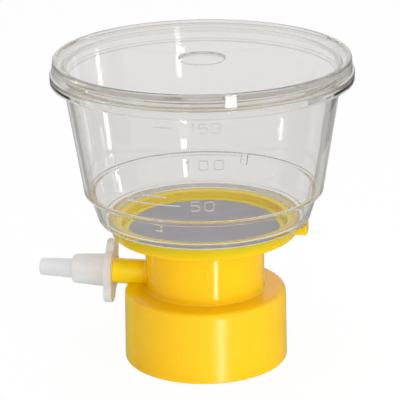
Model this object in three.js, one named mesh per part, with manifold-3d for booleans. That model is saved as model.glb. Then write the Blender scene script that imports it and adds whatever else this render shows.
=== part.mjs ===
// Bottle-top vacuum filter: clear funnel with a lid, welded to a yellow base that screws on a 45 mm bottle.
// Millimetres, +Z up. Every piece is made about the screw axis, with z 0 at the skirt's lower edge and the
// vacuum arm along -X. The group then moves along X, so that the origin is the overall box's bottom centre.
import * as THREE from 'three';
import { mergeVertices } from 'three/addons/utils/BufferGeometryUtils.js';
import Module from 'manifold-3d';

const wasm = await Module();
wasm.setup();

// ---------- driving dimensions ----------
const TURN_STEPS = 72;                 // facets around the main axis
const SMALL_STEPS = 36;                // facets around the arm
const GAP = 0.3;                       // between pieces that are welded or rest on each other
const LOOSE = 0.1;                     // between a seal, membrane or plug and its seat
const EDGE = 0.6;                      // small rounding of moulded edges
const NICK = 0.3;                      // smallest chamfer, and the step of a small blend
const DRAFT = 0.1;                     // slant of a short moulded wall

const SKIRT = { height: 22, bottomR: 24.7, topR: 24.4, round: 2, boreR: 22.7, deck: 2.2 };
const NECK = { r: 17.9, boreR: 16.0, ceiling: 39.4 };
const PLATE = { bottom: 39.7, top: 44.2, r: 28.4, floor: 1.4 };
const DISH = { r: 24.6, fall: 0.3, ribHeight: 0.5, ribWidth: 0.8, ribs: 24, ribInner: 5, ribOuter: 23.4 };
const DRAIN = { boreR: 1.9, spoutR: 3.4, spoutEnd: 31, taper: 0.3 };
const ARM = { z: 25, r: 3.85, boreR: 2.5, end: 35 };
const TAB = { angle: 3.5, reach: 31.1, halfWidth: 3, bottom: 39.9, thick: 3, round: 1.1 };

const FUNNEL = { wall: 1.6, taper: 0.1535, coneR: 27.43, shoulder: 53.2, ringTopR: 33.8, ringBottomR: 31.9 };
const FOOT = { innerR: 26.5, outerR: 30.7, thick: 1.5, corner: 1.2 };
const RIM = { r: 44.6, bottom: 87.0, top: 89.6, lipR: 41.3, lipTop: 91.2, blend: 0.7 };
const RING_RIB = { angle: -101.5, width: 2, drop: 2.1, proud: 0.5 };

const LID = {
  r: 44.1, topR: 43.6, top: 94, plate: 1.1, skirt: 1.3, corner: 0.5, beadR: 42.4, beadHeight: 0.9,
};
const LID_MARK = { r: 6.7, depth: 0.5, slope: 0.2 };
const MEMBRANE = { r: 24.3, thick: 0.2 };
const GASKET = { innerR: 17.2, outerR: 22.3, thick: 1.5 };
const ADAPTER = {
  start: 28.1, flangeR: 6.4, flangeThick: 2.5, bevel: 0.35,
  wingR: 9.8, wingHalf: 3.3, wingTurn: 24, fit: 0.06,
  barrelR: 5.05, shoulderR: 4.4, shoulderAt: 40.9, shoulderRound: 1.5,
  nozzleR: 2.95, tipR: 2.6, tipAt: 51.4, tipRound: 1.1, boreR: 1.4, socketEnd: 35.4,
};
const PLUG = { start: 42.5, end: 49.9 };

// ---------- materials ----------
const plastic = (color, roughness, more = {}) => {
  return new THREE.MeshStandardMaterial({ color, roughness, metalness: 0, ...more });
};
const clear = plastic(0xdedbd9, 0.08, { transparent: true, opacity: 0.35 });
const yellow = plastic(0xf7c914, 0.35);
const milky = plastic(0xdcd8d6, 0.45);
const filterPaper = plastic(0xa9a6a8, 0.8);
const sealRubber = plastic(0xe6e3dc, 0.6);
const cottonWool = plastic(0xf3f2ee, 0.95);

// ---------- helpers ----------
const deg = (angle) => angle * Math.PI / 180;
const p = (r, z) => new THREE.Vector2(r, z);

// Points of a circular arc in a profile, from one angle to the other, in degrees.
function arc(r, z, radius, from, to, steps = 4) {
  return Array.from({ length: steps + 1 }, (_, i) => {
    const a = deg(from + (to - from) * i / steps);
    return p(r + radius * Math.cos(a), z + radius * Math.sin(a));
  });
}

// Solid of revolution about +Z. The profile has the material on its left, and closes on itself or the axis.
function turned(profile, steps = TURN_STEPS) {
  const closed = profile[0].x === 0 ? profile : [...profile, profile[0]];
  return new THREE.LatheGeometry(closed, steps).rotateX(Math.PI / 2);
}

function toManifold(geometry) {
  const bare = geometry.clone();
  bare.deleteAttribute('normal');
  bare.deleteAttribute('uv');
  const merged = mergeVertices(bare, 1e-4);
  return new wasm.Manifold(new wasm.Mesh({
    numProp: 3,
    vertProperties: new Float32Array(merged.attributes.position.array),
    triVerts: new Uint32Array(merged.index.array),
  }));
}

function toGeometry(solid) {
  const mesh = solid.getMesh();
  const geometry = new THREE.BufferGeometry();
  geometry.setAttribute('position', new THREE.BufferAttribute(new Float32Array(mesh.vertProperties), 3));
  geometry.setIndex(new THREE.BufferAttribute(new Uint32Array(mesh.triVerts), 1));
  return geometry;
}

// Turns a piece made about +Z so that its length runs out along the arm, -X.
function alongArm(geometry) {
  return geometry.rotateY(-Math.PI / 2).translate(0, 0, ARM.z);
}

function meshOf(name, geometry, material) {
  const mesh = new THREE.Mesh(geometry, material);
  mesh.name = name;
  return mesh;
}

// ---------- base: skirt, neck, dish, arm and tab in one moulding ----------
// The skirt's bore is plain, at the thread's root. The thread's fine ridge is left out here.
const dishFloor = PLATE.bottom + PLATE.floor;
const deckUnder = SKIRT.height - SKIRT.deck;

function baseBody() {
  const round = SKIRT.round;
  return turned([
    p(SKIRT.boreR, 0),
    p(SKIRT.bottomR, 0),
    ...arc(SKIRT.topR - round, SKIRT.height - round, round, 0, 90, 5),
    ...arc(NECK.r + EDGE, SKIRT.height + EDGE, EDGE, 270, 180, 2),
    ...arc(NECK.r + EDGE, PLATE.bottom - EDGE, EDGE, 180, 90, 2),
    ...arc(PLATE.r - 2 * EDGE, PLATE.bottom + EDGE, EDGE, 270, 360, 3),
    p(PLATE.r, PLATE.top),
    p(DISH.r, PLATE.top),
    p(DISH.r - 2 * DRAFT, dishFloor),
    p(DRAIN.boreR, dishFloor - DISH.fall),
    p(DRAIN.boreR, DRAIN.spoutEnd),
    p(DRAIN.spoutR, DRAIN.spoutEnd),
    p(DRAIN.spoutR + DRAIN.taper, NECK.ceiling),
    p(NECK.boreR - NICK, NECK.ceiling),
    p(NECK.boreR, deckUnder),
    p(SKIRT.boreR - DRAFT, deckUnder),
  ]);
}

// Radial rib on the dish's floor, sunk into it by EDGE.
function supportRib(index) {
  const { ribInner, ribOuter, ribWidth, ribHeight, ribs } = DISH;
  const rib = new THREE.BoxGeometry(ribOuter - ribInner, ribWidth, ribHeight + EDGE);
  rib.translate((ribOuter + ribInner) / 2, 0, dishFloor + (ribHeight - EDGE) / 2);
  return rib.rotateZ(2 * Math.PI * index / ribs);
}

function edgeTab() {
  const { reach, halfWidth, round } = TAB;
  const root = PLATE.r - 2 * EDGE;
  const outline = new THREE.Shape();
  outline.moveTo(root, -halfWidth);
  outline.absarc(reach - round, -halfWidth + round, round, deg(-90), 0, false);
  outline.absarc(reach - round, halfWidth - round, round, 0, deg(90), false);
  outline.lineTo(root, halfWidth);
  const tab = new THREE.ExtrudeGeometry(outline, { depth: TAB.thick, bevelEnabled: false, curveSegments: 4 });
  return tab.translate(0, 0, TAB.bottom).rotateZ(deg(TAB.angle));
}

function armTube() {
  const root = (NECK.r + NECK.boreR) / 2;
  return alongArm(turned([
    p(0, root),
    p(ARM.r, root),
    p(ARM.r, ARM.end - NICK),
    p(ARM.r - NICK, ARM.end),
    p(0, ARM.end),
  ], SMALL_STEPS));
}

// The bore runs from inside the neck to past the arm's end.
function armBore() {
  const from = NECK.boreR - ARM.boreR;
  const to = ARM.end + 1;
  return alongArm(turned([p(0, from), p(ARM.boreR, from), p(ARM.boreR, to), p(0, to)], SMALL_STEPS));
}

function makeBase() {
  let solid = toManifold(baseBody());
  const added = [edgeTab(), armTube()];
  for (let i = 0; i < DISH.ribs; i += 1) added.push(supportRib(i));
  for (const geometry of added) solid = solid.add(toManifold(geometry));
  return toGeometry(solid.subtract(toManifold(armBore())));
}

// ---------- funnel ----------
const coneR = (z) => FUNNEL.coneR + FUNNEL.taper * z;

function funnelBody() {
  const { wall, shoulder, ringTopR, ringBottomR } = FUNNEL;
  const { blend } = RIM;
  const bottom = PLATE.top + GAP;
  const floor = bottom + FOOT.thick;
  const innerConeR = coneR(shoulder) - wall;
  return turned([
    p(FOOT.innerR, bottom),
    ...arc(FOOT.outerR, bottom + FOOT.corner, FOOT.corner, 270, 342, 3),
    p(ringBottomR + DRAFT, floor - DRAFT),
    p(ringTopR - DRAFT, shoulder - wall - DRAFT),
    p(ringTopR + NICK, shoulder - blend),
    p(coneR(shoulder) - 2 * NICK, shoulder - NICK),
    p(coneR(shoulder), shoulder + NICK),
    p(coneR(RIM.bottom - blend), RIM.bottom - blend),
    p(coneR(RIM.bottom) + blend, RIM.bottom),
    ...arc(RIM.r - EDGE, RIM.bottom + EDGE, EDGE, 270, 360, 2),
    p(RIM.r, RIM.top - NICK),
    p(RIM.r - NICK, RIM.top),
    p(RIM.lipR + NICK, RIM.top),
    p(RIM.lipR, RIM.top + NICK),
    p(RIM.lipR, RIM.lipTop - NICK),
    p(RIM.lipR - NICK, RIM.lipTop),
    p(RIM.lipR - wall + NICK, RIM.lipTop),
    p(RIM.lipR - wall, RIM.lipTop - NICK),
    p(innerConeR + DRAFT, shoulder + wall),
    p(innerConeR - EDGE, shoulder + wall - EDGE),
    p(ringTopR - wall + DRAFT, shoulder + EDGE),
    p(ringTopR - wall - DRAFT, shoulder - EDGE),
    p(ringBottomR - wall + EDGE, floor + FOOT.corner + NICK),
    ...arc(ringBottomR - wall - EDGE - NICK, floor + FOOT.corner, FOOT.corner, 340, 270, 3),
    p(FOOT.innerR, floor),
  ]);
}

// Small upright rib where the lower ring meets the step. It is sunk into the wall by NICK.
function ringRib(side) {
  const { angle, width, drop, proud } = RING_RIB;
  const inner = FUNNEL.ringTopR - EDGE - NICK;
  const outer = FUNNEL.ringTopR + proud - NICK;
  const rib = new THREE.BoxGeometry(outer - inner, width, drop);
  rib.translate((outer + inner) / 2, 0, FUNNEL.shoulder - NICK - drop / 2);
  return rib.rotateZ(deg(angle + 180 * side));
}

function makeFunnel() {
  let solid = toManifold(funnelBody());
  for (const side of [0, 1]) solid = solid.add(toManifold(ringRib(side)));
  return toGeometry(solid);
}

// ---------- lid, membrane, gasket ----------
function makeLid() {
  const { r, topR, top, plate, skirt, corner, beadR, beadHeight } = LID;
  const mark = LID_MARK;
  const bottom = RIM.top + GAP / 2;
  const face = top - beadHeight;
  const under = face - plate;
  return turned([
    p(0, under - mark.depth),
    p(mark.r - mark.slope, under - mark.depth),
    p(mark.r + mark.slope, under),
    p(r - skirt - corner - mark.slope, under),
    p(r - skirt - mark.slope, under - corner),
    p(r - skirt, bottom),
    p(r, bottom),
    ...arc(topR - corner, top - corner, corner, 5, 90, 3),
    p(beadR + mark.slope, top),
    p(beadR, face + DRAFT),
    p(beadR - NICK, face),
    p(mark.r + mark.slope / 2, face),
    p(mark.r - mark.slope / 2, face - mark.depth),
    p(0, face - mark.depth),
  ]);
}

function makeMembrane() {
  const { r, thick } = MEMBRANE;
  const bottom = dishFloor + DISH.ribHeight + LOOSE;
  return turned([p(0, bottom), p(r, bottom), p(r, bottom + thick), p(0, bottom + thick)]);
}

function makeGasket() {
  const { innerR, outerR, thick } = GASKET;
  const top = deckUnder - LOOSE;
  return turned([p(innerR, top - thick), p(outerR, top - thick), p(outerR, top), p(innerR, top)]);
}

// ---------- hose adapter: made standing on +Z, then laid along the arm ----------
function adapterBody() {
  const a = ADAPTER;
  return turned([
    p(0, a.start),
    p(a.barrelR, a.start),
    p(a.barrelR, a.start + a.flangeThick),
    ...arc(a.shoulderR - a.shoulderRound, a.shoulderAt - a.shoulderRound, a.shoulderRound, 0, 80, 4),
    p(a.nozzleR, a.shoulderAt + NICK),
    ...arc(a.tipR - a.tipRound, a.tipAt - a.tipRound, a.tipRound, 0, 90, 3),
    p(0, a.tipAt),
  ], SMALL_STEPS);
}

// Socket for the arm, narrowing to the nozzle's bore. It runs 1 mm past both ends.
function adapterBore() {
  const a = ADAPTER;
  const socket = ARM.r + a.fit;
  return turned([
    p(0, a.start - 1),
    p(socket, a.start - 1),
    p(socket, a.socketEnd),
    p(a.boreR, a.socketEnd + 1),
    p(a.boreR, a.tipAt + 1),
    p(0, a.tipAt + 1),
  ], SMALL_STEPS);
}

// Round flange with two rounded wings opposite each other.
function adapterFlange() {
  const { flangeR, flangeThick, bevel, wingR, wingHalf, wingTurn, start } = ADAPTER;
  const quarter = Math.PI / 2;
  const root = Math.asin((wingHalf - bevel) / (flangeR - bevel));
  const centre = wingR - wingHalf;
  const outline = new THREE.Shape();
  for (const side of [0, 1]) {
    const from = Math.PI * side;
    outline.absarc(0, 0, flangeR - bevel, from - quarter + root, from + quarter - root, false);
    outline.absarc(0, side === 0 ? centre : -centre, wingHalf - bevel, from, from + Math.PI, false);
  }
  const flange = new THREE.ExtrudeGeometry(outline, {
    depth: flangeThick - 2 * bevel,
    curveSegments: 8,
    bevelSize: bevel,
    bevelThickness: bevel,
    bevelSegments: 2,
  });
  return flange.rotateZ(quarter + deg(wingTurn)).translate(0, 0, start + bevel);
}

function makeAdapter() {
  const outside = toManifold(adapterBody()).add(toManifold(adapterFlange()));
  const solid = outside.subtract(toManifold(adapterBore()));
  return alongArm(toGeometry(solid));
}

function makePlug() {
  const { start, end } = PLUG;
  const r = ADAPTER.boreR - LOOSE;
  return alongArm(turned([p(0, start), p(r, start), p(r, end), p(0, end)], SMALL_STEPS));
}

// ---------- assembly ----------
const group = new THREE.Group();
group.add(meshOf('base', makeBase(), yellow));
group.add(meshOf('neck_gasket', makeGasket(), sealRubber));
group.add(meshOf('membrane', makeMembrane(), filterPaper));
group.add(meshOf('funnel', makeFunnel(), clear));
group.add(meshOf('lid', makeLid(), clear));
group.add(meshOf('hose_adapter', makeAdapter(), milky));
group.add(meshOf('cotton_plug', makePlug(), cottonWool));
group.position.x = (ADAPTER.tipAt - RIM.r) / 2;

export default group;
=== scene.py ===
"""Bottle-top vacuum filter: clear lidded funnel on a yellow base, with a milky hose adapter on its side arm.

Lengths in the piece functions are millimetres about the screw axis, with z 0 at the skirt's lower edge and
the vacuum arm along -X. meshed() turns them to metres and moves them to where the frame has the screw axis.
"""
import math

import bpy
import numpy as np
from mathutils import Matrix, Vector


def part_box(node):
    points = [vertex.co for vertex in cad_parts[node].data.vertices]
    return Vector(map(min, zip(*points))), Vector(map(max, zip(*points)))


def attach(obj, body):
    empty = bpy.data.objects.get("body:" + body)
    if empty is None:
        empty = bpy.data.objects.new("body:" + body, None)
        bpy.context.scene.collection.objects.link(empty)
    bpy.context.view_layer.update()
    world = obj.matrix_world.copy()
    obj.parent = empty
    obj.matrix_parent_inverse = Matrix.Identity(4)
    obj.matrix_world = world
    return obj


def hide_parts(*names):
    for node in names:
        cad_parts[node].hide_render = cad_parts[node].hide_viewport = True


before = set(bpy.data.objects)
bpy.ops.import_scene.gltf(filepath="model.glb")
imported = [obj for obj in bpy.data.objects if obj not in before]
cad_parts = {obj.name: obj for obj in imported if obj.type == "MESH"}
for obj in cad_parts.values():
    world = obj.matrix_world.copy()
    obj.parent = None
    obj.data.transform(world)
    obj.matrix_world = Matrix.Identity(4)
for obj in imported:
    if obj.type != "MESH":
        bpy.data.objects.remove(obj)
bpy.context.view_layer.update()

MM = 0.001
funnel_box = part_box("funnel")
SCREW_AXIS = np.array([(funnel_box[0].x + funnel_box[1].x) / 2, 0.0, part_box("base")[0].z])

# ---------- driving dimensions, mm and degrees ----------
TURN_STEPS = 288                      # columns round the screw axis
ARM_STEPS = 72                        # columns round the arm
SKIRT_BORE = 22.7                     # radius at the thread's root
SKIRT_DECK = 19.8                     # underside of the skirt's closed end
SKIRT_TOP = 22.0
NECK_R = 17.9
PLATE_UNDER = 39.7
PLATE_TOP = 44.2                      # land of the dish, where the funnel is welded on
DISH_FLOOR = 41.1
MEMBRANE_TOP = 41.9
SUPPORT_RIBS = 24                     # under the membrane
ARM_HEIGHT = 25.0
ARM_R = 3.85
ARM_END = 35.0                        # from the screw axis
WALL_SLOPE = 0.1535                   # funnel radius gained per mm of height
WALL_AT_ZERO = 27.43
STEP_RIB_TURNS = (-101.5, 78.5)       # the two small ribs under the funnel's step
STEP_RIB_FOOT = 50.3
RIM_R = 44.6
RIM_UNDER = 87.0
RIM_TOP = 89.6
LID_TOP = 94.0
FLANGE_R = 6.4                        # round part of the adapter's flange
FLANGE_END = 30.75                    # just past the flange, from the screw axis
# The camera turns this far round from the arm's square view, looks down by its tilt, and leans by its roll.
CAMERA_TURN, CAMERA_TILT, CAMERA_ROLL = 11.5, 18.769, 0.9125
CAMERA_AIM = (-1.2152, 0, 49.128)     # to the right, away and up, as the camera sees them
CAMERA_DISTANCE = 603.38


# ---------- shapes ----------
def filleted(corners, steps=5):
    """Profile through corners (r, z, fillet): each corner is replaced by an arc of its fillet radius, tangent
    to both sides. The arc starts fillet * tan(turn / 2) before the corner and ends as far after it."""
    points = np.array([c[:2] for c in corners], float)
    out = []
    for i, (_, _, fillet) in enumerate(corners):
        here = points[i]
        back, ahead = points[i - 1] - here, points[(i + 1) % len(points)] - here
        room_back, room_ahead = np.linalg.norm(back), np.linalg.norm(ahead)
        back, ahead = back / room_back, ahead / room_ahead
        half = math.acos(float(np.clip(back @ ahead, -1, 1))) / 2
        if fillet <= 0 or half > 1.55:
            out.append(here[None])
            continue
        reach = min(fillet / math.tan(half), 0.49 * room_back, 0.49 * room_ahead)
        radius = reach * math.tan(half)
        centre = here + (back + ahead) / np.linalg.norm(back + ahead) * radius / math.sin(half)
        first, last = here + back * reach - centre, here + ahead * reach - centre
        share = np.linspace(0, 1, steps + 1)[:, None]
        swing = math.pi - 2 * half
        arc = (np.sin((1 - share) * swing) * first + np.sin(share * swing) * last) / math.sin(swing)
        out.append(centre + arc)
    return np.concatenate(out)


def subdivided(profile, longest):
    """The closed profile with more points put in evenly wherever a side is longer than longest."""
    ends = np.roll(profile, -1, axis=0)
    counts = np.maximum(1, np.ceil(np.linalg.norm(ends - profile, axis=1) / longest)).astype(int)
    parts = [a + (b - a) * np.arange(n)[:, None] / n for a, b, n in zip(profile, ends, counts)]
    return np.concatenate(parts)


def braced(profile):
    """The closed profile with two more points on each side over 0.5 mm, 0.08 mm in from its ends. Smooth
    shading then bends only next to the fillets, and the side itself stays true."""
    ends = np.roll(profile, -1, axis=0)
    parts = []
    for a, b in zip(profile, ends):
        length = np.linalg.norm(b - a)
        shares = [0, 0.08 / length, 1 - 0.08 / length] if length > 0.5 else [0]
        parts.append(a + (b - a) * np.array(shares)[:, None])
    return np.concatenate(parts)


def closed_grid(grid, wrap_rows=True):
    """Faces of a grid of points (rows, columns, 3) whose columns close on themselves. Rows close too, or else
    the first and last row are each drawn together to one pole."""
    rows, columns = grid.shape[:2]
    index = np.arange(rows * columns).reshape(rows, columns)
    below = index if wrap_rows else index[:-1]
    above = np.roll(index, -1, axis=0) if wrap_rows else index[1:]
    quads = np.stack([below, np.roll(below, -1, axis=1), np.roll(above, -1, axis=1), above], axis=-1)
    points, faces = grid.reshape(-1, 3), quads.reshape(-1, 4).tolist()
    if not wrap_rows:
        poles = np.array([grid[0].mean(axis=0), grid[-1].mean(axis=0)])
        points = np.concatenate([points, poles])
        first, last = rows * columns, rows * columns + 1
        faces += np.stack([np.roll(index[0], -1), index[0], np.full(columns, first)], axis=1).tolist()
        faces += np.stack([index[-1], np.roll(index[-1], -1), np.full(columns, last)], axis=1).tolist()
    return points, faces


def around(steps):
    """This many angles evenly round an axis, in radians."""
    return np.linspace(0, 2 * np.pi, steps, endpoint=False)


def spun(points, turn):
    """Points turned about the screw axis by an angle in radians."""
    c, s = math.cos(turn), math.sin(turn)
    return points @ np.array([[c, s, 0], [-s, c, 0], [0, 0, 1]])


def revolved(profile, turns):
    """Solid of revolution: the point at radius r and height z goes round to (r cos a, r sin a, z) for every
    angle a in turns. A profile that starts on the axis ends there too, in a pole at each end, and any other
    is a closed ring."""
    solid = profile[0, 0] == 0
    rings = braced(profile)
    if solid:
        away = np.flatnonzero(rings[:, 0])
        poles = rings[[0, away[-1] + 1]]
        rings = rings[away]
    r, z = rings[:, 0][:, None], rings[:, 1][:, None]
    grid = np.stack([r * np.cos(turns), r * np.sin(turns), z + 0 * turns], axis=-1)
    points, faces = closed_grid(grid, wrap_rows=not solid)
    if solid:
        points[-2:] = [[0, 0, z] for z in poles[:, 1]]
    return points, faces


def along_arm(points):
    """Turns a piece made about +Z so that its length runs out along the arm, -X."""
    return np.stack([-points[:, 2], points[:, 1], points[:, 0] + ARM_HEIGHT], axis=1)


def signed_volume(points, faces):
    """Six times the volume, by the sum of a . (b x c) over a fan of triangles in each face. It is negative
    where the faces point inwards."""
    quads = np.array([f if len(f) == 4 else [*f, f[2]] for f in faces])
    a, b, c, d = (points[quads[:, k]] for k in range(4))
    return (np.einsum("ij,ij->i", a, np.cross(b, c)) + np.einsum("ij,ij->i", a, np.cross(c, d))).sum()


def meshed(name, points, faces):
    """Mesh from points in mm about the screw axis, in metres and in the frame, with its faces outwards."""
    if signed_volume(points, faces) < 0:
        faces = [f[::-1] for f in faces]
    mesh = bpy.data.meshes.new(name)
    mesh.from_pydata((points * MM + SCREW_AXIS).tolist(), [], faces)
    mesh.validate()
    return mesh


def joined(*shells):
    """Several shells, each (points, faces), as one list of points and faces."""
    points, faces, start = [], [], 0
    for more_points, more_faces in shells:
        points.append(more_points)
        faces += [[v + start for v in f] for f in more_faces]
        start += len(more_points)
    return np.concatenate(points), faces


def place(name, mesh, material, body, stands_for=None, crease=38):
    """Puts a mesh in the scene as one piece of the object, smooth up to the crease angle in degrees."""
    mesh.name = name
    mesh.materials.clear()
    mesh.materials.append(material)
    mesh.shade_smooth()
    mesh.set_sharp_from_angle(angle=math.radians(crease))
    piece = bpy.data.objects.new(name, mesh)
    bpy.context.scene.collection.objects.link(piece)
    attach(piece, body)
    if stands_for:
        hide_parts(stands_for)
    return piece


def combined(mesh, *steps):
    """The mesh after boolean steps, each ("UNION" or "DIFFERENCE", other mesh), worked out one by one."""
    for operation, other in steps:
        body = bpy.data.objects.new("body", mesh)
        tool = bpy.data.objects.new("tool", other)
        for o in (body, tool):
            bpy.context.scene.collection.objects.link(o)
        cut = body.modifiers.new("cut", "BOOLEAN")
        cut.operation, cut.solver, cut.object = operation, "MANIFOLD", tool
        bpy.context.view_layer.update()
        done = body.evaluated_get(bpy.context.evaluated_depsgraph_get())
        mesh = bpy.data.meshes.new_from_object(done)
        for o in (body, tool):
            bpy.data.objects.remove(o)
    return mesh


# ---------- materials ----------
def linear(code):
    """sRGB hex text to linear RGBA: each channel c is c / 12.92 below 0.04045, and
    ((c + 0.055) / 1.055) ^ 2.4 above it."""
    c = np.array([int(code[i:i + 2], 16) for i in (0, 2, 4)]) / 255
    return [*np.where(c <= 0.04045, c / 12.92, ((c + 0.055) / 1.055) ** 2.4), 1.0]


def add(tree, kind, inputs=None, **settings):
    """Adds a node. Settings are its own properties, and inputs maps a socket to a value or to the output that
    feeds it."""
    made = tree.nodes.new(kind)
    for name, value in settings.items():
        setattr(made, name, value)
    for socket, value in (inputs or {}).items():
        if isinstance(value, bpy.types.NodeSocket):
            tree.links.new(value, made.inputs[socket])
        else:
            made.inputs[socket].default_value = value
    return made


def blank(name):
    """A material with an empty tree."""
    material = bpy.data.materials.new(name)
    material.use_nodes = True
    material.node_tree.nodes.clear()
    return material, material.node_tree


def per_mm(size):
    """Texture scale, in cycles per metre, for a detail of this many mm."""
    return 1 / (size * MM)


def moulded_polypropylene():
    """Yellow polypropylene, injection moulded: satin gloss from a fine-blasted mould, and enough light goes
    through it that corners and shaded places turn orange instead of grey."""
    material, tree = blank("moulded_polypropylene")
    where = add(tree, "ShaderNodeTexCoord").outputs["Object"]
    # Pigment is a little uneven over about 9 mm.
    cloud = add(tree, "ShaderNodeTexNoise", {"Vector": where, "Scale": per_mm(9), "Detail": 2.0})
    tone = add(tree, "ShaderNodeMix", {"Factor": cloud.outputs["Fac"], "A": linear("f2c104"),
                                       "B": linear("f7c908")}, data_type="RGBA")
    place_in = add(tree, "ShaderNodeSeparateXYZ", {"Vector": where})
    height = place_in.outputs["Z"]
    # Painted light: the colour turns paler from 17.5 to 21 mm out on the arm's side of the screw axis,
    # standing in for the brighter light on the thin arm. The skirt's side there turns paler with it.
    along = add(tree, "ShaderNodeMapRange", {"Value": place_in.outputs["X"],
                                             "From Min": SCREW_AXIS[0] - 17.5 * MM,
                                             "From Max": SCREW_AXIS[0] - 21.0 * MM})
    tone = add(tree, "ShaderNodeMix", {"Factor": along.outputs["Result"], "A": tone.outputs["Result"],
                                       "B": linear("ffdc08")}, data_type="RGBA")
    # The plate is thin and lies in clear plastic. Its colour there is painted light: lemon, for the light that
    # comes through it, and towards its edge a darker, greener painted shade.
    plate = add(tree, "ShaderNodeMapRange", {"Value": height, "From Min": SCREW_AXIS[2] + 39.0 * MM,
                                             "From Max": SCREW_AXIS[2] + 42.5 * MM})
    flat = add(tree, "ShaderNodeVectorMath", {0: where, 1: (1, 1, 0)}, operation="MULTIPLY")
    radius = add(tree, "ShaderNodeVectorMath", {0: flat.outputs["Vector"], 1: (SCREW_AXIS[0], 0, 0)},
                 operation="DISTANCE")
    # Painted shade at the plate's outer edge and its tab, from 27.4 to 27.8 mm out.
    edge = add(tree, "ShaderNodeMapRange", {"Value": radius.outputs["Value"], "From Min": 27.4 * MM,
                                            "From Max": 27.8 * MM})
    painted_glow_and_edge_shade = add(tree, "ShaderNodeMix", {"Factor": edge.outputs["Result"], "A": linear("f2d80e"),
                                        "B": linear("ccb808")}, data_type="RGBA")
    tone = add(tree, "ShaderNodeMix", {"Factor": plate.outputs["Result"], "A": tone.outputs["Result"],
                                       "B": painted_glow_and_edge_shade.outputs["Result"]}, data_type="RGBA")
    # Blasted mould grain, 0.35 mm.
    grain = add(tree, "ShaderNodeTexNoise", {"Vector": where, "Scale": per_mm(0.35), "Detail": 3.0})
    relief = add(tree, "ShaderNodeBump", {"Height": grain.outputs["Fac"], "Strength": 0.12,
                                          "Distance": 0.00002})
    # The skirt's outside is blasted coarser than the neck.
    sheen = add(tree, "ShaderNodeMapRange", {"Value": height, "From Min": SCREW_AXIS[2] + 20.0 * MM,
                                             "From Max": SCREW_AXIS[2] + 23.0 * MM, "To Min": 0.27,
                                             "To Max": 0.13})
    skin = add(tree, "ShaderNodeBsdfPrincipled", {
        "Base Color": tone.outputs["Result"], "Roughness": sheen.outputs["Result"], "IOR": 1.49,
        "Normal": relief.outputs["Normal"], "Subsurface Weight": 0.3, "Subsurface Scale": 0.002,
        "Subsurface Radius": (1.0, 0.35, 0.04)})
    add(tree, "ShaderNodeOutputMaterial", {"Surface": skin.outputs["BSDF"]})
    return material


def clear_polystyrene(name, tint="f8f7f6", haze=0.0, wave=0.25):
    """Crystal polystyrene, injection moulded in a polished mould: high gloss, slow flow waves that bend
    highlights, and a faint warm grey in its depth that gathers where light runs along inside the rims.
    Lamps shine through it with little loss. Haze is its roughness, and wave is how strongly it ripples."""
    material, tree = blank(name)
    where = add(tree, "ShaderNodeTexCoord").outputs["Object"]
    # Flow waves of the melt, 14 mm apart. The mould's turning marks are too fine to show, so they are drawn
    # 6.9 mm apart along the axis. At scale 1 the wave texture has 20 / 2 pi bands a metre.
    flow = add(tree, "ShaderNodeTexNoise", {"Vector": where, "Scale": per_mm(14), "Detail": 1.0})
    rings = add(tree, "ShaderNodeTexWave",
                {"Vector": where, "Scale": per_mm(6.91) * 2 * math.pi / 20, "Distortion": 0.6},
                wave_type="BANDS", bands_direction="Z", wave_profile="SIN")
    height = add(tree, "ShaderNodeMath", {0: rings.outputs["Fac"], 1: 0.06, 2: flow.outputs["Fac"]},
                 operation="MULTIPLY_ADD")
    relief = add(tree, "ShaderNodeBump", {"Height": height.outputs["Value"], "Strength": wave,
                                          "Distance": 0.0001})
    glass = add(tree, "ShaderNodeBsdfPrincipled", {
        "Base Color": linear(tint), "Roughness": haze, "IOR": 1.59, "Transmission Weight": 1.0,
        "Normal": relief.outputs["Normal"]})
    lamps = add(tree, "ShaderNodeBsdfTransparent", {"Color": linear("f4f2f1")})
    path = add(tree, "ShaderNodeLightPath")
    both = add(tree, "ShaderNodeMixShader", {0: path.outputs["Is Shadow Ray"], 1: glass.outputs["BSDF"],
                                             2: lamps.outputs["BSDF"]})
    # A 1.6 mm wall takes 1% of the light, and 70 mm inside the lid's plate takes a third.
    depth = add(tree, "ShaderNodeVolumeAbsorption", {"Color": (0.83, 0.81, 0.785, 1), "Density": 32.0})
    add(tree, "ShaderNodeOutputMaterial", {"Surface": both.outputs["Shader"],
                                           "Volume": depth.outputs["Volume"]})
    return material


def milky_polyethylene():
    """Natural low-density polyethylene, injection moulded: waxy, milky and translucent, so that the yellow
    arm inside shows through the barrel as a warm band."""
    material, tree = blank("milky_polyethylene")
    where = add(tree, "ShaderNodeTexCoord").outputs["Object"]
    cloud = add(tree, "ShaderNodeTexNoise", {"Vector": where, "Scale": per_mm(5), "Detail": 2.0})
    tone = add(tree, "ShaderNodeMix", {"Factor": cloud.outputs["Fac"], "A": linear("f0f4fc"),
                                       "B": linear("f6f9ff")}, data_type="RGBA")
    grain = add(tree, "ShaderNodeTexNoise", {"Vector": where, "Scale": per_mm(0.4), "Detail": 2.0})
    relief = add(tree, "ShaderNodeBump", {"Height": grain.outputs["Fac"], "Strength": 0.15,
                                          "Distance": 0.00003})
    wax = add(tree, "ShaderNodeBsdfPrincipled", {
        "Base Color": tone.outputs["Result"], "Roughness": 0.42, "IOR": 1.51,
        "Normal": relief.outputs["Normal"], "Transmission Weight": 0.3, "Subsurface Weight": 0.8,
        "Subsurface Scale": 0.002, "Subsurface Radius": (1.0, 0.9, 0.85)})
    lamps = add(tree, "ShaderNodeBsdfTransparent", {"Color": linear("c4beb6")})
    path = add(tree, "ShaderNodeLightPath")
    both = add(tree, "ShaderNodeMixShader", {0: path.outputs["Is Shadow Ray"], 1: wax.outputs["BSDF"],
                                             2: lamps.outputs["BSDF"]})
    add(tree, "ShaderNodeOutputMaterial", {"Surface": both.outputs["Shader"]})
    return material


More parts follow.
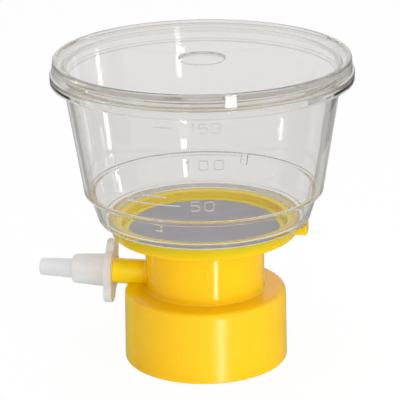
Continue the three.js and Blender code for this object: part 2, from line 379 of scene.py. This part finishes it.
def cast_membrane():
    """Polymer filter membrane, cast: dead matt and even, with the faint mottle of a wetted porous sheet."""
    material, tree = blank("cast_membrane")
    where = add(tree, "ShaderNodeTexCoord").outputs["Object"]
    mottle = add(tree, "ShaderNodeTexNoise", {"Vector": where, "Scale": per_mm(6), "Detail": 4.0})
    # Painted shade: the membrane itself is white, and it is painted mid grey for the shade it lies in inside
    # the funnel.
    tone = add(tree, "ShaderNodeMix", {"Factor": mottle.outputs["Fac"], "A": linear("acacb4"),
                                       "B": linear("b4b4bc")}, data_type="RGBA")
    # Pores are far too fine to show, so the grain stands for them at 0.3 mm.
    pores = add(tree, "ShaderNodeTexNoise", {"Vector": where, "Scale": per_mm(0.3), "Detail": 2.0})
    relief = add(tree, "ShaderNodeBump", {"Height": pores.outputs["Fac"], "Strength": 0.3,
                                          "Distance": 0.00003})
    felt = add(tree, "ShaderNodeBsdfPrincipled", {
        "Base Color": tone.outputs["Result"], "Roughness": 0.7, "IOR": 1.45,
        "Normal": relief.outputs["Normal"]})
    add(tree, "ShaderNodeOutputMaterial", {"Surface": felt.outputs["BSDF"]})
    return material


def silicone_rubber():
    """Silicone rubber, die cut: soft matt off-white with a faint dusty mottle."""
    material, tree = blank("silicone_rubber")
    where = add(tree, "ShaderNodeTexCoord").outputs["Object"]
    dust = add(tree, "ShaderNodeTexNoise", {"Vector": where, "Scale": per_mm(2), "Detail": 3.0})
    tone = add(tree, "ShaderNodeMix", {"Factor": dust.outputs["Fac"], "A": linear("dcd8cf"),
                                       "B": linear("e9e6df")}, data_type="RGBA")
    rubber = add(tree, "ShaderNodeBsdfPrincipled", {
        "Base Color": tone.outputs["Result"], "Roughness": 0.6, "IOR": 1.41, "Subsurface Weight": 0.2,
        "Subsurface Scale": 0.001})
    add(tree, "ShaderNodeOutputMaterial", {"Surface": rubber.outputs["BSDF"]})
    return material


def cotton_wool():
    """Cotton wool, packed: loose white fibres, so it is dull, uneven and slightly shadowed between them."""
    material, tree = blank("cotton_wool")
    where = add(tree, "ShaderNodeTexCoord").outputs["Object"]
    # Fibre bundles stand for the fibres, drawn 0.25 mm wide and stretched along the arm.
    drawn = add(tree, "ShaderNodeMapping", {"Vector": where, "Scale": (0.3, 1.0, 1.0)})
    fibre = add(tree, "ShaderNodeTexNoise", {"Vector": drawn.outputs["Vector"], "Scale": per_mm(0.25),
                                             "Detail": 3.0, "Distortion": 0.8})
    # Painted shade: the tone is darker where the fibre texture is low, between the bundles, where the bump
    # sinks too.
    tone = add(tree, "ShaderNodeMix", {"Factor": fibre.outputs["Fac"], "A": linear("d9d7d0"),
                                       "B": linear("faf9f6")}, data_type="RGBA")
    relief = add(tree, "ShaderNodeBump", {"Height": fibre.outputs["Fac"], "Strength": 0.8,
                                          "Distance": 0.0002})
    wool = add(tree, "ShaderNodeBsdfPrincipled", {
        "Base Color": tone.outputs["Result"], "Roughness": 0.9, "Normal": relief.outputs["Normal"],
        "Sheen Weight": 0.3})
    add(tree, "ShaderNodeOutputMaterial", {"Surface": wool.outputs["BSDF"]})
    return material


# ---------- base ----------
# Radius, height and fillet: up the skirt's and neck's outside, over the plate, across the dish, and down
# the drain, its spout, the neck's bore and the skirt's bore.
BASE_CORNERS = [
    (SKIRT_BORE, 0.0, 0.15), (24.7, 0.0, 0.3), (24.4, SKIRT_TOP, 2.0), (NECK_R, SKIRT_TOP, 0.6),
    (NECK_R, PLATE_UNDER, 0.6), (27.7, PLATE_UNDER, 0.6), (28.4, PLATE_TOP, 0.2), (24.6, PLATE_TOP, 0.2),
    (24.4, DISH_FLOOR, 0.3), (1.9, DISH_FLOOR - 0.3, 0.2), (1.9, 31.0, 0.1), (3.4, 31.0, 0.25),
    (3.7, 39.4, 0.6), (15.8, 39.4, 0.4), (16.0, SKIRT_DECK, 0.2), (22.6, SKIRT_DECK, 0.4),
]


def screw_thread():
    """Ridge of the thread inside the skirt: a trapezoid section carried along a right-hand helix. Its height
    grows from nothing at both ends, and its foot is sunk into the skirt's wall."""
    pitch, winds, start, proud, sunk_to = 4.0, 1.6, 4.2, 1.15, 23.3
    t = np.linspace(0, 1, 201)[:, None]
    turn, z = 2 * np.pi * winds * t, start + pitch * winds * t
    height = proud * np.minimum(1, 0.15 + 8 * np.minimum(t, 1 - t))
    inner, outer = SKIRT_BORE - height, sunk_to + 0 * t
    r = np.concatenate([outer, inner, inner, outer], axis=1)
    foot, crest = 0.95, 0.35
    rise = np.array([-foot, -crest, crest, foot])
    grid = np.stack([r * np.cos(turn), r * np.sin(turn), z + rise + 0 * r], axis=-1)
    return closed_grid(grid, wrap_rows=False)


def arm_tube():
    """Vacuum arm: revolved about its own line, flared where it meets the neck and rounded at its end."""
    flare = 4.5
    profile = filleted([(0, NECK_R - 1, 0), (flare, NECK_R - 1, 0), (flare, 17.7, 0), (ARM_R, 18.7, 0.6),
                        (ARM_R, ARM_END, 0.3), (0, ARM_END, 0)])
    points, faces = revolved(subdivided(profile, 6), around(ARM_STEPS))
    return along_arm(points), faces


def arm_bore():
    """Bore of the vacuum arm, from inside the neck to 1 mm past the arm's end."""
    bore, inside_neck = 2.5, 13.5
    profile = np.array([(0, inside_neck), (bore, inside_neck), (bore, ARM_END + 1), (0, ARM_END + 1)])
    points, faces = revolved(profile, around(ARM_STEPS))
    return along_arm(points), faces


def rounded_slab(outline, low, high, edge):
    """Flat slab: its outline, an array of (x, y) going round once, is drawn in by edge * (1 - cos a) while z
    rises by edge * sin a, so that the upper and lower edges are rounded."""
    a = np.linspace(0, np.pi / 2, 5)
    inset = np.concatenate([edge * (1 - np.sin(a)), edge * (1 - np.cos(a))])
    height = np.concatenate([low + edge * (1 - np.cos(a)), high - edge * (1 - np.sin(a))])
    ahead = np.roll(outline, -1, axis=0) - np.roll(outline, 1, axis=0)
    inward = np.stack([-ahead[:, 1], ahead[:, 0]], axis=1)
    inward /= np.linalg.norm(inward, axis=1)[:, None]
    flat = outline[None] + inset[:, None, None] * inward[None]
    grid = np.concatenate([flat, np.broadcast_to(height[:, None, None], (len(inset), len(outline), 1))], axis=2)
    return closed_grid(grid, wrap_rows=False)


def edge_tabs():
    """Tab on the plate's edge: a slab with rounded outer corners, and a low upright lip along its end."""
    half, reach, under, turn = 3.0, 31.1, 39.9, math.radians(3.5)
    parts = []
    for inner, inner_round, outer_round, top in ((26.8, 0, 1.1, 42.1), (29.7, 0.5, 0.9, 42.9)):
        corners = [(inner, -half, inner_round), (reach, -half, outer_round), (reach, half, outer_round),
                   (inner, half, inner_round)]
        points, faces = rounded_slab(subdivided(filleted(corners), 1.0), under, top, 0.25)
        parts.append((spun(points, turn), faces))
    return parts


def support_ribs():
    """Radial ribs that carry the membrane: one low bar with rounded edges, repeated round the dish. Their
    feet are sunk into the dish's floor, which falls towards the drain."""
    half, first, last = 0.4, 5.0, 23.4
    corners = [(first, -half, 0.3), (last, -half, 0.3), (last, half, 0.3), (first, half, 0.3)]
    points, faces = rounded_slab(subdivided(filleted(corners, 3), 6), DISH_FLOOR - 0.6, DISH_FLOOR + 0.5, 0.1)
    return joined(*[(spun(points, turn), faces) for turn in around(SUPPORT_RIBS)])


def make_base(material):
    """The revolved body with the thread, ribs, tab and arm joined to it, and then the arm's bore cut."""
    body = meshed("base_body", *revolved(subdivided(filleted(BASE_CORNERS), 2.5), around(TURN_STEPS)))
    shells = [screw_thread(), support_ribs(), *edge_tabs(), arm_tube()]
    steps = [("UNION", meshed("tool", *shell)) for shell in shells]
    mesh = combined(body, *steps, ("DIFFERENCE", meshed("tool", *arm_bore())))
    return place("base_moulding", mesh, material, "unit", "base")


def make_seal_ring(material):
    """Heat-sealed edge of the membrane: a low crowned ring of the base's plastic pressed over it."""
    inner, outer = 22.45, 24.45
    profile = filleted([(inner, MEMBRANE_TOP, 0), (outer, MEMBRANE_TOP, 0), (outer, 42.15, 0.15),
                        (23.4, 42.3, 0.8), (inner, 42.0, 0.08)])
    mesh = meshed("seal_ring", *revolved(profile, around(TURN_STEPS)))
    return place("seal_ring", mesh, material, "unit")


# ---------- funnel ----------
def wall_radius(z):
    """Outer radius of the funnel's tapered wall at height z."""
    return WALL_AT_ZERO + WALL_SLOPE * z


# Radius, height and fillet: along the foot's underside, up the outside to the rim and its lip, and down the
# inside. The foot is sunk by 0.05 mm into the plate where the two are welded, so that no air shows between
# them. The three points from STEP_RIB_FOOT up give the small ribs' lower ends their shape.
FUNNEL_CORNERS = [
    (26.5, PLATE_TOP - 0.05, 0), (28.3, PLATE_TOP - 0.05, 0), (28.5, 44.5, 0.1), (31.57, 44.5, 1.2),
    (33.341, STEP_RIB_FOOT, 0), (33.418, STEP_RIB_FOOT + 0.25, 0), (33.494, STEP_RIB_FOOT + 0.5, 0),
    (34.12, 52.85, 0.6), (wall_radius(53.1), 53.1, 0.45), (wall_radius(RIM_UNDER), RIM_UNDER, 0.7),
    (RIM_R, RIM_UNDER, 0.25), (RIM_R, RIM_TOP, 0.35), (41.3, RIM_TOP, 0.3), (41.3, 91.2, 0.7),
    (39.7, 91.2, 0.7), (wall_radius(54.4) - 1.68, 54.4, 0.7), (32.35, 53.75, 0.6), (30.25, 46.0, 1.3),
    (26.5, 46.0, 0.2),
]


def nearest(angles, marks):
    """Angle from each of the angles to the nearest mark, in radians, the short way round."""
    return np.abs((angles[:, None] - marks + np.pi) % (2 * np.pi) - np.pi).min(axis=1)


def make_funnel(material):
    """The funnel is revolved, in finer steps near the two small ribs under the step. There its radius grows by
    the ribs' height times u * u * (3 - 2 u) across and likewise upwards, where u goes from 0 to 1 over the
    rib's soft edge."""
    half, soft, proud, head = 1.25, 0.4, 0.5, 53.0
    ribs = np.radians(np.array(STEP_RIB_TURNS) % 360)
    fine = (ribs[:, None] + np.radians(np.linspace(-2.6, 2.6, 40))).ravel()
    turns = around(TURN_STEPS)
    turns = np.sort(np.concatenate([turns[nearest(turns, ribs) > np.radians(2.7)], fine]))
    points, faces = revolved(subdivided(filleted(FUNNEL_CORNERS), 6), turns)
    r, z = np.hypot(points[:, 0], points[:, 1]), points[:, 2]
    off = nearest(np.arctan2(points[:, 1], points[:, 0]), ribs) * r
    outside = r > 31.5 + 0.3 * (z - 45.9)
    across = np.clip((half - off) / soft, 0, 1)
    upright = np.clip((z - STEP_RIB_FOOT) / 0.5, 0, 1) * np.clip((head - z) / 0.3, 0, 1)
    push = proud * outside * (3 - 2 * across) * across**2 * (3 - 2 * upright) * upright**2
    points[:, :2] *= (1 + push / r)[:, None]
    return place("funnel_shell", meshed("funnel_shell", points, faces), material, "unit",
                 "funnel", crease=50)


# Single-stroke digits on a box 1 wide and 1 high, centred on 0 across.
DIGITS = {
    "0": [[(-0.5, 0.15), (-0.5, 0.85), (-0.35, 1), (0.35, 1), (0.5, 0.85), (0.5, 0.15), (0.35, 0),
           (-0.35, 0), (-0.5, 0.15)]],
    "1": [[(-0.2, 0.75), (0.05, 1), (0.05, 0)]],
    "5": [[(0.45, 1), (-0.42, 1), (-0.48, 0.55), (0.25, 0.6), (0.5, 0.42), (0.5, 0.15), (0.32, 0),
           (-0.3, 0), (-0.48, 0.15)]],
}


# Height of each graduation up the wall, and how far its strokes stand out: the upper ones are shallow.
LINE_50, LINE_60, LINE_100, LINE_150 = 59.55, 61.96, 72.21, 83.37
PROUD = {LINE_50: 0.28, LINE_60: 0.28, LINE_100: 0.09, LINE_150: 0.06}


def raised_stroke(path, proud):
    """Half-round bead on the outside of the funnel's wall. The path is (degrees round, height) points; the
    section is a half ellipse, carried along it square to its course and shrunk to nothing at both ends."""
    half, mm_per_degree, step, off_wall = 0.17, 0.65, 0.1, 0.02
    path = np.array(path, float)
    legs = np.hypot(*(np.diff(path, axis=0) * [mm_per_degree, 1]).T)
    steps = np.concatenate([[0], np.cumsum(legs)])
    at = np.arange(0, steps[-1] + step / 2, step)
    turn = np.radians(np.interp(at, steps, path[:, 0]))
    z = np.interp(at, steps, path[:, 1])
    r = wall_radius(z) + off_wall
    centre = np.stack([r * np.cos(turn), r * np.sin(turn), z], axis=1)
    course = np.gradient(centre, axis=0)
    course /= np.linalg.norm(course, axis=1)[:, None]
    out = np.stack([np.cos(turn), np.sin(turn), 0 * turn - WALL_SLOPE], axis=1)
    out /= np.linalg.norm(out, axis=1)[:, None]
    side = np.cross(course, out)
    a = np.linspace(0, np.pi, 9)
    end = np.minimum(at, at[-1] - at) / half
    size = np.sqrt(np.clip(1 - (1 - np.clip(end, 0.05, 1)) ** 2, 0, 1))[:, None, None]
    grid = centre[:, None] + size * (half * np.cos(a)[None, :, None] * side[:, None]
                                     + proud * np.sin(a)[None, :, None] * out[:, None])
    return closed_grid(grid, wrap_rows=False)


def make_graduations(material):
    """Moulded lines at 50, 60 and 150 mL, the figures 50, 100 and 150, and a row of short dashes, on the side
    the camera sees. Each stroke is a path and the graduation that it belongs to."""
    digit_width, digit_height, dash_half = 2.5, 2.8, 0.25
    lines = ((-115.3, -89.3, LINE_50), (-106.3, -94.9, LINE_60), (-98.7, -90.8, LINE_150))
    strokes = [([(turn, z) for turn in np.linspace(first, last, 24)], z) for first, last, z in lines]
    for dash in np.arange(-74.5, -64, 1.2):
        strokes.append(([(dash - dash_half, LINE_150), (dash + dash_half, LINE_150)], LINE_150))
    figures = (("50", LINE_50, (-82.6, -76.3)), ("100", LINE_100, (-85.2, -78.7, -72.2)),
               ("150", LINE_150, (-82.6, -78.6, -73.6)))
    for text, z, turns in figures:
        wide = math.degrees(digit_width / wall_radius(z))
        for digit, turn in zip(text, turns):
            for path in DIGITS[digit]:
                strokes.append(([(turn + x * wide, z + (y - 0.5) * digit_height) for x, y in path], z))
    mesh = meshed("graduations", *joined(*[raised_stroke(path, PROUD[line]) for path, line in strokes]))
    return place("graduations", mesh, material, "unit")


# ---------- lid, membrane, gasket ----------
# Radius, height and fillet: out under the plate from the round mark, round the skirt, and back over the top.
LID_CORNERS = [
    (0, 91.4, 0), (6.5, 91.4, 0.15), (6.95, 92.0, 0.15), (42.75, 92.0, 0.5), (42.8, 89.75, 0.1),
    (44.1, 89.75, 0.35), (43.6, LID_TOP, 0.5), (42.5, LID_TOP, 0.25), (42.35, 93.1, 0.25),
    (6.95, 93.1, 0.15), (6.45, 92.5, 0.15), (0, 92.5, 0),
]


def make_lid(material):
    """The lid's profile, revolved: plate, round mark, skirt and the raised edge round its top."""
    mesh = meshed("lid_shell", *revolved(filleted(LID_CORNERS), around(TURN_STEPS)))
    return place("lid_shell", mesh, material, "lid", "lid", crease=50)


def make_membrane(material):
    """Disc that sags between the support ribs: at angle a the sag is half of 1 - cos(ribs * a), faded to
    nothing at the middle and before the seal ring."""
    thick, sag, seal = 0.2, 0.05, 22.4
    radii = np.concatenate([np.linspace(0.5, 24.2, 40), [24.3]])
    turns = around(TURN_STEPS)
    fade = np.clip(radii / 6, 0, 1) * np.clip((seal - radii) / 1.5, 0, 1)
    dip = sag * fade[:, None] * (1 - np.cos(SUPPORT_RIBS * turns)) / 2
    flat = np.stack([radii[:, None] * np.cos(turns), radii[:, None] * np.sin(turns)], axis=-1)
    upper = np.concatenate([flat, (MEMBRANE_TOP - dip)[..., None]], axis=2)
    lower = np.concatenate([flat, (MEMBRANE_TOP - thick - dip)[..., None]], axis=2)
    points, faces = closed_grid(np.concatenate([upper, lower[::-1]]), wrap_rows=False)
    return place("membrane_disc", meshed("membrane_disc", points, faces), material, "unit",
                 "membrane")


def make_gasket(material):
    """Flat ring with rounded edges, revolved. It lies just under the skirt's deck."""
    inner, outer, under, top = 17.2, 22.3, 18.2, 19.7
    profile = filleted([(inner, under, 0.2), (outer, under, 0.2), (outer, top, 0.2), (inner, top, 0.2)])
    mesh = meshed("gasket_ring", *revolved(profile, around(TURN_STEPS)))
    return place("gasket_ring", mesh, material, "unit", "neck_gasket")


# ---------- hose adapter ----------
# Radius, distance from the screw axis and fillet: flange, barrel, nozzle, its bore and the arm's socket.
ADAPTER_CORNERS = [
    (3.91, 28.1, 0.2), (FLANGE_R, 28.1, 0.35), (FLANGE_R, 30.6, 0.35), (5.05, 30.6, 0.3), (4.4, 40.95, 1.6),
    (2.95, 41.2, 0.25), (2.6, 51.4, 1.1), (1.4, 51.4, 0.15), (1.4, 36.4, 0.4), (3.91, 35.4, 0.3),
]


def flange_reach(turn):
    """Radius of the winged flange in direction turn: the larger of the round flange and a wing, with their
    meeting smoothed. The wing is a capsule that reaches half + centre to both sides, and it leans over."""
    lean, half, centre, smooth = math.radians(24), 3.3, 6.5, 0.12
    across, along = np.abs(np.sin(turn - lean)), np.abs(np.cos(turn - lean))
    side = half / np.maximum(across, 1e-6)
    tip = centre * along + np.sqrt(np.maximum(half**2 - (centre * across) ** 2, 0))
    wing = np.where(side * along < centre, side, np.where(centre * across < half, tip, 0))
    gap = wing - FLANGE_R
    return FLANGE_R + (gap + np.sqrt(gap**2 + smooth)) / 2


def make_adapter(material):
    """Revolved about the arm's line, with the flange's rim pushed out to flange_reach() in each direction.
    The push grows from nothing just outside the barrel."""
    nothing, all_of_it = 5.2, 6.0
    points, faces = revolved(subdivided(filleted(ADAPTER_CORNERS), 1.2), around(240))
    turn = np.arctan2(points[:, 1], points[:, 0])
    r, s = np.hypot(points[:, 0], points[:, 1]), points[:, 2]
    share = np.where(s < FLANGE_END, np.clip((r - nothing) / (all_of_it - nothing), 0, 1), 0)
    points[:, :2] *= (1 + share * (flange_reach(turn) - FLANGE_R) / r)[:, None]
    mesh = meshed("adapter_shell", along_arm(points), faces)
    return place("adapter_shell", mesh, material, "adapter", "hose_adapter")


def make_plug(material):
    """Cotton plug: a cylinder whose radius swells and sinks along and around it, and shrinks at both ends."""
    first, last, radius, swell, ends = 42.5, 49.9, 1.25, 0.04, 0.5
    s, turns = np.linspace(first, last, 60), around(48)
    end = np.clip((np.minimum(s - first, last - s) + 0.1) / ends, 0, 1) ** 0.5
    r = (radius * end)[:, None] + swell * np.sin(5 * turns) * np.sin(3.1 * s)[:, None]
    grid = np.stack([r * np.cos(turns), r * np.sin(turns), s[:, None] + 0 * turns], axis=-1)
    points, faces = closed_grid(grid, wrap_rows=False)
    mesh = meshed("plug_fibre", along_arm(points), faces)
    return place("plug_fibre", mesh, material, "adapter", "cotton_plug")


# ---------- studio ----------
def turned(azimuth):
    """Rotation about the upright that carries the square view of the arm to this azimuth, in degrees."""
    return Matrix.Rotation(math.radians(azimuth), 3, "Z")


def make_camera():
    """Long lens, 0.6 m off. It looks down by its tilt and is rolled a little."""
    tilt, roll = math.radians(CAMERA_TILT), math.radians(CAMERA_ROLL)
    forward = Vector((0, math.cos(tilt), -math.sin(tilt)))
    up, right = Vector((0, math.sin(tilt), math.cos(tilt))), Vector((1, 0, 0))
    spin = turned(CAMERA_TURN)
    rolled_right = spin @ (right * math.cos(roll) - up * math.sin(roll))
    rolled_up = spin @ (right * math.sin(roll) + up * math.cos(roll))
    spot = spin @ (Vector(CAMERA_AIM) - forward * CAMERA_DISTANCE) * MM + Vector(SCREW_AXIS)
    lens = bpy.data.cameras.new("camera")
    lens.sensor_width, lens.lens = 36.0, 181.6965
    lens.clip_start, lens.clip_end = 0.01, 50.0
    camera = bpy.data.objects.new("camera", lens)
    axes = Matrix((rolled_right, rolled_up, -(spin @ forward))).transposed().to_4x4()
    camera.matrix_world = Matrix.Translation(spot) @ axes
    bpy.context.scene.collection.objects.link(camera)
    bpy.context.scene.camera = camera


def make_softbox(name, azimuth, elevation, distance, size, watts, tint="ffffff", seen_in_gloss=False):
    """Soft lamp aimed at the object's middle. Azimuth counts from the camera's side, to its right. Distance
    and size are in metres."""
    lamp = bpy.data.lights.new(name, "AREA")
    lamp.shape, lamp.size, lamp.size_y, lamp.energy = "RECTANGLE", size[0], size[1], watts
    lamp.color = linear(tint)[:3]
    middle = Vector(SCREW_AXIS) + Vector((0, 0, 50 * MM))
    level = math.radians(elevation)
    way = turned(CAMERA_TURN + azimuth) @ Vector((0, -math.cos(level), math.sin(level)))
    stand = bpy.data.objects.new(name, lamp)
    stand.location = middle + way * distance
    stand.rotation_euler = way.to_track_quat("Z", "Y").to_euler()
    stand.visible_glossy = stand.visible_transmission = seen_in_gloss
    bpy.context.scene.collection.objects.link(stand)
    return stand


def make_card(name, corners, level):
    """Flat card through four corners (right, away, up) in mm, as the camera sees them. It shows only in
    reflections and through the clear plastic. Level 1 is white, less is a grey card, and more is a bright
    strip."""
    spin = np.array(turned(CAMERA_TURN))
    mesh = bpy.data.meshes.new(name)
    mesh.from_pydata((np.array(corners) @ spin.T * MM + SCREW_AXIS).tolist(), [], [(0, 1, 2, 3)])
    material, tree = blank(name)
    shine = add(tree, "ShaderNodeEmission", {"Color": linear("fffdfb"), "Strength": level})
    add(tree, "ShaderNodeOutputMaterial", {"Surface": shine.outputs["Emission"]})
    material.cycles.emission_sampling = "NONE"
    mesh.materials.append(material)
    card = bpy.data.objects.new(name, mesh)
    card.visible_camera = card.visible_diffuse = card.visible_shadow = False
    bpy.context.scene.collection.objects.link(card)


def standing(first, last, low, high):
    """Corners of an upright card between two points (right, away), from low to high."""
    return [(*first, low), (*last, low), (*last, high), (*first, high)]


def facing(azimuth, distance, width, low, high):
    """Corners of an upright card that faces the object, at this azimuth to the camera's right."""
    a = math.radians(azimuth)
    middle = np.array([math.sin(a), -math.cos(a)]) * distance
    side = np.array([math.cos(a), math.sin(a)]) * width / 2
    return standing(middle - side, middle + side, low, high)


def make_floor():
    """White paper sweep. It shows as white, and the object's shadow on it stays as a faint grey. Glosses
    see it as dimmer, as paper beyond the lamps' pool is."""
    material, tree = blank("white_paper")
    paper = add(tree, "ShaderNodeBsdfDiffuse", {"Color": linear("f6f6f6")})
    white = add(tree, "ShaderNodeEmission", {"Color": (1, 1, 1, 1), "Strength": 1.0})
    pale = add(tree, "ShaderNodeEmission", {"Color": (1, 1, 1, 1), "Strength": 0.86})
    dim = add(tree, "ShaderNodeEmission", {"Color": (1, 1, 1, 1), "Strength": 0.3})
    path = add(tree, "ShaderNodeLightPath")
    gloss = add(tree, "ShaderNodeMixShader", {0: path.outputs["Is Glossy Ray"], 1: paper.outputs["BSDF"],
                                              2: dim.outputs["Emission"]})
    # A ray through clear plastic counts as glossy too, so this mix comes after it.
    through = add(tree, "ShaderNodeMixShader", {0: path.outputs["Is Transmission Ray"],
                                                1: gloss.outputs["Shader"], 2: pale.outputs["Emission"]})
    share = add(tree, "ShaderNodeMath", {0: path.outputs["Is Camera Ray"], 1: 0.95}, operation="MULTIPLY")
    both = add(tree, "ShaderNodeMixShader", {0: share.outputs["Value"], 1: through.outputs["Shader"],
                                             2: white.outputs["Emission"]})
    add(tree, "ShaderNodeOutputMaterial", {"Surface": both.outputs["Shader"]})
    mesh = bpy.data.meshes.new("floor")
    half, lines, drop = 3.0, 13, 0.1 * MM
    x, y = np.meshgrid(np.linspace(-half, half, lines), np.linspace(-half, half, lines), indexing="ij")
    index = np.arange(lines**2).reshape(lines, lines)
    quads = np.stack([index[:-1, :-1], index[1:, :-1], index[1:, 1:], index[:-1, 1:]], axis=-1)
    points = np.stack([x, y, 0 * x - drop], axis=-1).reshape(-1, 3) + SCREW_AXIS
    mesh.from_pydata(points.tolist(), [], quads.reshape(-1, 4).tolist())
    mesh.materials.append(material)
    floor = bpy.data.objects.new("floor", mesh)
    bpy.context.scene.collection.objects.link(floor)


def make_world():
    """White behind the object for the camera. Through the clear plastic and in its gloss the room is pale
    near the level and falls to grey overhead, which draws the rims' upper edges. For the rest it is a soft
    fill, stronger from behind, where no lamp stands."""
    world = bpy.data.worlds.new("studio")
    world.use_nodes = True
    tree = world.node_tree
    tree.nodes.clear()
    way = add(tree, "ShaderNodeTexCoord").outputs["Generated"]
    height = add(tree, "ShaderNodeSeparateXYZ", {"Vector": way})
    fade = add(tree, "ShaderNodeMapRange", {"Value": height.outputs["Z"], "From Min": 0.36, "From Max": 0.7,
                                            "To Min": 0.86, "To Max": 0.55}, interpolation_type="SMOOTHSTEP")
    behind = add(tree, "ShaderNodeMapRange", {"Value": height.outputs["Y"], "From Min": 0.1, "From Max": 0.9,
                                              "To Min": 0.36, "To Max": 1.1})
    room = add(tree, "ShaderNodeBackground", {"Color": linear("f4f4f6"),
                                              "Strength": behind.outputs["Result"]})
    clear = add(tree, "ShaderNodeBackground", {"Color": (1, 1, 1, 1), "Strength": fade.outputs["Result"]})
    white = add(tree, "ShaderNodeBackground", {"Color": (1, 1, 1, 1), "Strength": 1.0})
    path = add(tree, "ShaderNodeLightPath")
    seen = add(tree, "ShaderNodeMath", {0: path.outputs["Is Glossy Ray"],
                                        1: path.outputs["Is Transmission Ray"]}, operation="MAXIMUM")
    both = add(tree, "ShaderNodeMixShader", {0: seen.outputs["Value"], 1: room.outputs["Background"],
                                             2: clear.outputs["Background"]})
    every = add(tree, "ShaderNodeMixShader", {0: path.outputs["Is Camera Ray"], 1: both.outputs["Shader"],
                                              2: white.outputs["Background"]})
    add(tree, "ShaderNodeOutputWorld", {"Surface": every.outputs["Shader"]})
    bpy.context.scene.world = world


# Name, azimuth, elevation, distance, size, watts and tint.
LAMPS = (
    ("front_lamp", 0, 16, 0.9, (0.5, 0.5), 2.7, "ffffff"),
    ("right_lamp", 50, 20, 0.9, (0.5, 0.5), 2.1, "ffffff"),
    ("left_lamp", -85, 5, 0.7, (0.4, 0.4), 0.33, "ff8244"),
    ("top_lamp", 0, 85, 0.9, (0.6, 0.6), 4.2, "ffffff"),
)
# Bright strips draw the upright streaks on the clear plastic. These ones face the object: name, azimuth,
# distance, width, lower and upper end, and level.
FACING_STRIPS = (
    ("front_strip_low", 20.3, 400, 40, 50, 58, 12),
    ("front_strip_faint", 20, 400, 70, 58, 69, 1.5),
    ("front_strip_middle", 19.5, 400, 55, 70, 80, 12),
    ("front_strip_upper", 21.7, 400, 36, 90, 128, 8),
    ("front_strip_high", 21.5, 400, 32, 134, 147, 12),
    ("left_strip", -92.5, 130, 6, 50, 59, 8),
    ("left_strip_high", -94, 130, 8, 85, 92, 8),
)
# Strips on the right, and grey cards that draw the edges of the clear plastic: name, both ends (right, away),
# lower and upper edge, and level.
STANDING_CARDS = (
    ("right_strip", (76, 46), (76, 53), 45, 83, 10),
    ("right_strip_soft", (76, 66.5), (76, 72), 39, 53, 3),
    ("right_strip_thin", (76, 124), (76, 128), 37, 49, 6),
    ("edge_flag_low", (55, 8), (55, 31), 30, 54, 0.6),
    ("edge_flag_middle", (55, 8), (55, 31), 54, 68, 0.4),
    ("edge_flag_high", (55, 8), (55, 31), 68, 92, 0.22),
    ("right_flag", (80, 25), (80, 125), 0, 70, 0.4),
    ("back_flag", (66, 125), (80, 125), 0, 70, 0.45),
    ("left_flag", (-80, 25), (-80, 90), 0, 70, 0.4),
)
# The strip over the lid narrows upwards, so that the streak on the lid does too.
LID_STRIP = [(-15.6, 600, 222), (-11.4, 600, 222), (-11.8, 600, 263), (-12.8, 600, 263)]


def make_studio():
    """Camera, floor, world, lamps and cards."""
    make_camera()
    make_floor()
    make_world()
    for name, azimuth, elevation, distance, size, watts, tint in LAMPS:
        make_softbox(name, azimuth, elevation, distance, size, watts, tint)
    for name, azimuth, distance, width, low, high, level in FACING_STRIPS:
        make_card(name, facing(azimuth, distance, width, low, high), level)
    for name, first, last, low, high, level in STANDING_CARDS:
        make_card(name, standing(first, last, low, high), level)
    make_card("lid_strip", LID_STRIP, 1.2)


def make_strip_lamp(only_on):
    """Narrow lamp to the right of the camera and below the table's level, for the bright line down the
    yellow moulding. It lights that piece alone, and nothing else blocks it."""
    strip = make_softbox("strip_lamp", 20, -19, 0.6, (0.04, 0.22), 0.6, seen_in_gloss=True)
    lit = bpy.data.collections.new("strip_lit")
    lit.objects.link(only_on)
    strip.light_linking.receiver_collection = lit
    strip.light_linking.blocker_collection = lit


# ---------- assembly ----------
scene = bpy.context.scene
scene.view_settings.view_transform = "Standard"
# Light in the clear rim turns back and forth many times before it comes out.
scene.cycles.max_bounces = scene.cycles.transmission_bounces = 128
scene.cycles.glossy_bounces = 64
scene.cycles.transparent_max_bounces = 32
make_studio()
yellow = moulded_polypropylene()
cup = clear_polystyrene("clear_polystyrene")
cover = clear_polystyrene("cover_polystyrene", "f4f3f2", wave=0.05)
make_seal_ring(yellow)
make_graduations(clear_polystyrene("raised_polystyrene", haze=0.15))
make_strip_lamp(make_base(yellow))
make_funnel(cup)
make_lid(cover)
make_membrane(cast_membrane())
make_gasket(silicone_rubber())
make_adapter(milky_polyethylene())
make_plug(cotton_wool())
